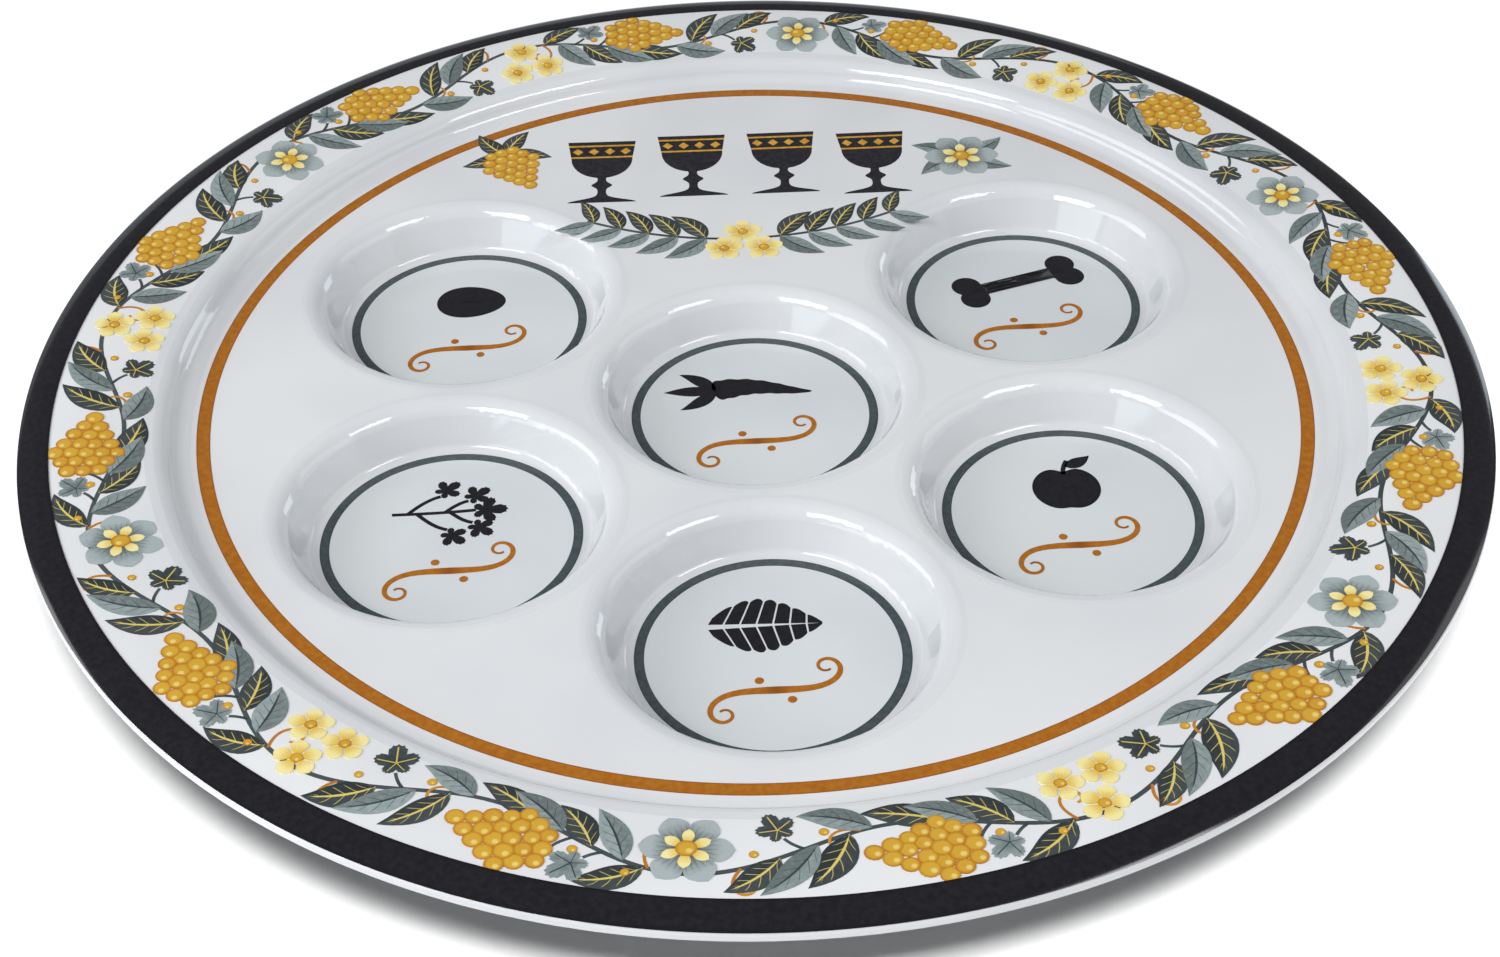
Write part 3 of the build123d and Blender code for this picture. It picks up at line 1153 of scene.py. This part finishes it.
# %% [markdown]
# The other signs are made of several strokes. The leaf is drawn in parts with white veins left
# between them, one half at a time, since its other half is its mirror image. The root is a ribbon
# whose width thins out, with the border's blades for its leaves.

# %% Signs of several strokes: leaf and root
leaf_parts = 7
vein_share = 0.06
leaf_length, leaf_start = 18.0, -10.0
leaf_half, rib_half, heel_half = 5.0, 0.55, 1.3
leaf_lean = 0.5
root_length, root_start = 17.0, -7.0
root_width, root_tip_width = 5.6, 0.25
root_wave = 0.9
root_crown = 0.1
root_rings = 0.05


def lettuce_leaf(rows=13, columns=5):
    """Half of a broad leaf beside its white rib: parts that lean towards the tip, each with a
    bulging edge, and white veins between them."""
    step = np.linspace(vein_share, 1 - vein_share, rows)[None, :, None]
    along = (np.arange(leaf_parts)[:, None, None] + step) / leaf_parts
    across = np.linspace(0, 1, columns)[None, None, :]
    rib = rib_half * (1 - along)
    bulge = 0.86 + 0.2 * np.sin(math.pi * step) ** 0.6
    half = leaf_half * np.sin(math.pi * along**0.75) ** 0.8 * bulge + heel_half * (1 - along) ** 2
    y = rib + across * np.maximum(half - rib, 0)
    x = leaf_length * along + leaf_start + leaf_lean * y * (1 - along)
    return np.stack([x, y], axis=-1), chart_of(rows, columns)


def upside_down(drawing):
    """A drawing's mirror image below the level line, with its grids turned over to stay face up."""
    points, chart = drawing
    return points[:, :, ::-1] * (1, -1), chart


def root(steps=65):
    """A thick root with a round crown that thins out along a slack wave, with slight rings."""
    along = np.linspace(0, 1, steps)
    x = root_length * along + root_start
    path = np.stack([x, root_wave * np.sin(4.5 * along)], axis=-1)[None]
    crown = np.sqrt(1 - (1 - np.minimum(along / root_crown, 1)) ** 2)
    rings = 1 + root_rings * np.sin(40 * along)
    return ribbons(path, crown * (root_width * (1 - along) ** 0.75 * rings + root_tip_width))


root_blades = blades(length=[8.0, 9.0, 8.0], width=2.6, bend=[0.6, 0.05, -0.6])
root_leaves = set_down(root_blades, (-6.4, 0.1), np.radians([142, 180, 218]))
print("parts of half a leaf:", len(lettuce_leaf()[0]), "leaves on the root:", len(root_leaves[0]))

# %% [markdown]
# The sprig is a branching of slight curls with a small lobed leaf on each tip, and the apple gets a
# stalk and a leaf. With those the signs are complete, each under the name of its well.

# %% Sprig, apple stalk and the list of signs
sprig_curls = curls(length=[13.5, 6.6, 6.6, 4.6, 4.6], turn=[0.1, -0.5, 0.5, -0.5, 0.5])
sprig_forks = [(-10.0, 0.0), (-7.5, 0.0), (-6.0, 0.0), (-1.5, 0.1), (-0.6, 0.1)]
sprig_fork_headings = [0.0, 0.85, -0.85, 0.8, -0.8]
sprig_stems = set_down(ribbons(sprig_curls, width=0.7), sprig_forks, sprig_fork_headings)
sprig_tips = [(3.2, 0.3), (-2.7, 4.4), (-1.2, -4.4), (2.1, 2.9), (3.0, -2.7)]
sprig_tip_headings = [0.05, 0.75, -0.75, 0.7, -0.7]
sprig_leaf = lobed_leaves(radius=[3.6, 2.9, 2.9, 2.9, 2.9], depth=0.62)
sprig_leaves = set_down(sprig_leaf, sprig_tips, sprig_tip_headings)
apple_leaf = set_down(blades(length=5.2, width=2.4, bend=0.6), (0.4, 5.4), heading=0.5)
apple_stalk_path = np.array([[[0.0, 3.4], [0.1, 4.6], [0.5, 5.8], [1.0, 6.8]]])
apple_stalk = ribbons(apple_stalk_path, width=0.8)
bone_tilt = 0.32
signs = {
    "egg": [egg()],
    "shank_bone": [set_down(bone(), (0.0, 0.0), bone_tilt)],
    "charoset": [apple(), apple_stalk, apple_leaf],
    "lettuce": [lettuce_leaf(), upside_down(lettuce_leaf())],
    "bitter_herbs": [root(), root_leaves],
    "parsley": [sprig_stems, sprig_leaves],
}
print("strokes of each sign:", {name: len(strokes) for name, strokes in signs.items()})

# %% [markdown]
# Below each sign runs an orange flourish, a stroke that a pen makes without lifting: thick in the
# middle, and curling up one way at its left end and the other way at its right. Half a turn carries
# one end onto the other, so only one half is drawn.

# %% Signs and flourishes in the wells
sign_scale = 1.28
sign_rise = 8.0
flourish_drop = -9.5
flourish_length = 25.0
flourish_turn = 7.0
flourish_power = 3
stroke_width, stroke_taper = 1.9, 1.4
bead_places = [(-3.0, 2.6), (3.0, -2.6)]
bead_radii = [0.9, 0.9]


def flourish(steps=61):
    """Right half of the stroke: a curl from the origin that thins out towards its tip."""
    along = np.linspace(0, 1, steps)
    path = curls(flourish_length, flourish_turn, flourish_power, steps)
    return ribbons(path, stroke_width - stroke_taper * along)


def turned_round(drawing):
    """A drawing's copy turned half way round the origin."""
    points, chart = drawing
    return -points, chart


def larger(drawing):
    """A sign at the size that fills its half of a well."""
    points, chart = drawing
    return sign_scale * points, chart


sign_films = []
flourish_films = []
for name, place in wells.items():
    sign_films += [set_down(larger(stroke), place + (0.0, sign_rise)) for stroke in signs[name]]
    strokes = [flourish(), turned_round(flourish()), set_down(dots(bead_radii), bead_places)]
    flourish_films += [set_down(stroke, place + (0.0, flourish_drop)) for stroke in strokes]
ink("well_signs", sign_films, on_floor, black_ink)
ink("well_flourishes", flourish_films, on_floor, orange_ink)

# %% [markdown]
# ## Table, light and camera
#
# The plate stands on a wide sheet of pale paper. A sweep that curves up behind it would be usual,
# but from this view the sheet fills the picture anyway. It is lit to white by a softbox of its own,
# and is not quite white itself, so that the plate's soft shadow still shows on it.

# %% Floor
floor_drop = 0.3
floor_reach = 3.0
floor_square = ((-1, -1), (1, -1), (1, 1), (-1, 1))
paper_roughness = 0.9
paper_sheen = 0.1
paper_shades = ((0.49, 0.49, 0.49, 1.0), (0.52, 0.52, 0.52, 1.0))
fibre_size = 0.002
floor_corners = [(floor_reach * x, floor_reach * y, -floor_drop * MM) for x, y in floor_square]
floor_mesh = bpy.data.meshes.new("floor")
floor_mesh.from_pydata(floor_corners, [], [(0, 1, 2, 3)])
floor = bpy.data.objects.new("floor", floor_mesh)
bpy.context.scene.collection.objects.link(floor)
floor_paper = bpy.data.materials.new("floor_paper")
floor_paper.use_nodes = True
paper_shader = floor_paper.node_tree.nodes["Principled BSDF"]
paper_shader.inputs["Roughness"].default_value = paper_roughness
paper_shader.inputs["Specular IOR Level"].default_value = paper_sheen
fibres = grain(Shade(floor_paper.node_tree), fibre_size)
coloured(floor_paper, paper_shader, fibres.between(*paper_shades))
floor_mesh.materials.append(floor_paper)
print("floor:", 2 * floor_reach, "m square,", floor_drop, "mm below the feet")

# %% [markdown]
# A glossy plate looks like what it mirrors, so each light is placed by where its reflection falls. A
# softbox at the right front draws the sharp streaks in the wells, and a bright one at the left front
# gives most of the light. Long ones fill both sides. Low cards, bluish as daylight is, stand where
# the leaning walls of the wells look. A softbox turns its face, the -Z side, to the plate, and its
# power follows from its area and from how bright that face looks.

# %% Softboxes
neutral = (1.0, 1.0, 1.0)
daylight = (0.84, 0.93, 1.0)


def softbox(name, first_end, second_end, breadth, glow, tint=neutral):
    """Rectangular light with its long middle line between two places, facing the plate."""
    first, second = Vector(first_end), Vector(second_end)
    middle = (first + second) / 2
    away = middle.normalized()
    along = (second - first) - (second - first).dot(away) * away
    across = away.cross(along.normalized())
    turn = Matrix((along.normalized(), across, away)).transposed()
    light = bpy.data.lights.new(name, "AREA")
    light.shape = "RECTANGLE"
    light.size = along.length
    light.size_y = breadth
    light.energy = math.pi * light.size * light.size_y * glow
    light.color = tint
    box = bpy.data.objects.new(name, light)
    box.matrix_world = Matrix.Translation(middle) @ turn.to_4x4()
    bpy.context.scene.collection.objects.link(box)
    print(name, "power:", round(light.energy, 1))
    return box


# Name, the two ends of the middle line, breadth, glow and tint
plate_boxes = [
    softbox("key_softbox", (0.613, -0.155, 0.756), (0.363, -0.441, 0.809), 0.27, 9.0),
    softbox("left_front_softbox", (-0.67, -0.33, 0.67), (-0.28, -0.56, 0.72), 0.31, 9.6),
    softbox("left_softbox", (-0.89, -0.47, 0.48), (-0.89, 0.47, 0.48), 0.30, 3.9),
    softbox("right_softbox", (1.1, -0.5, 0.75), (1.1, 0.6, 0.75), 0.4, 1.4),
    softbox("left_front_card", (-0.63, -1.03, 0.38), (-1.14, -0.42, 0.38), 0.38, 2.6, daylight),
    softbox("left_card", (-1.20, -0.36, 0.34), (-1.20, 0.60, 0.34), 0.46, 0.8, daylight),
    softbox("right_card", (1.185, -0.63, 0.3), (1.185, 0.63, 0.3), 0.5, 0.7, daylight),
    softbox("right_back_card", (0.985, 0.770, 0.25), (0.803, 0.958, 0.25), 0.4, 3.4, daylight),
    softbox("back_card", (0.45, 1.28, 0.2), (-1.15, 0.72, 0.2), 0.36, 0.4, daylight),
]
floor_boxes = [softbox("floor_softbox", (-0.7, -1.25, 2.97), (0.7, -1.25, 2.97), 0.8, 68.0)]

# %% [markdown]
# In a studio, flags and snoots keep a lamp's light off what it isn't meant for. Light linking does
# the same here: the plate's softboxes light the plate alone, and the floor's lights the floor. The
# dim room around them fills the rest, and the Standard view shows colours as they were mixed.

# %% Flags and room light
room_colour = (0.93, 0.97, 1.0, 1.0)
room_strength = 0.16


def flagged(boxes, group_name, receivers):
    """Keep the light of some softboxes on some objects alone, as flags and snoots do."""
    group = bpy.data.collections.new(group_name)
    for item in receivers:
        group.objects.link(item)
    for box in boxes:
        box.light_linking.receiver_collection = group


shown = [item for item in bpy.context.scene.objects if item.type == "MESH" and item is not floor]
flagged(plate_boxes, "plate_receivers", shown)
flagged(floor_boxes, "floor_receivers", [floor])
world = bpy.data.worlds.new("white_room")
bpy.context.scene.world = world
world.use_nodes = True
room = world.node_tree.nodes["Background"]
room.inputs["Color"].default_value = room_colour
room.inputs["Strength"].default_value = room_strength
bpy.context.scene.view_settings.view_transform = "Standard"

# %% [markdown]
# The camera stands where the photograph was taken from: the ellipses of the plate's own circles fix
# its place, its lens and its three turns. A constraint that tracks the plate could aim it, but
# would leave out the slight roll.

# %% Camera
camera_place = Vector((-0.01433, -0.37189, 0.306754))
pan = math.radians(2.008)
tilt = math.radians(40.879)
roll = math.radians(0.987)
focal_length = 53.054
sensor_width = 36.0
ahead = Vector((math.sin(pan) * math.cos(tilt), math.cos(pan) * math.cos(tilt), -math.sin(tilt)))
level = Vector((math.cos(pan), -math.sin(pan), 0.0))
below = ahead.cross(level)
right = math.cos(roll) * level + math.sin(roll) * below
down = math.cos(roll) * below - math.sin(roll) * level
camera_turn = Matrix((right, -down, -ahead)).transposed()
lens = bpy.data.cameras.new("camera")
lens.lens = focal_length
lens.sensor_width = sensor_width
lens.sensor_fit = "HORIZONTAL"
lens.dof.use_dof = False
camera = bpy.data.objects.new("camera", lens)
camera.matrix_world = Matrix.Translation(camera_place) @ camera_turn.to_4x4()
bpy.context.scene.collection.objects.link(camera)
bpy.context.scene.camera = camera
print("camera:", round(camera_place.length, 3), "m from the plate's foot")
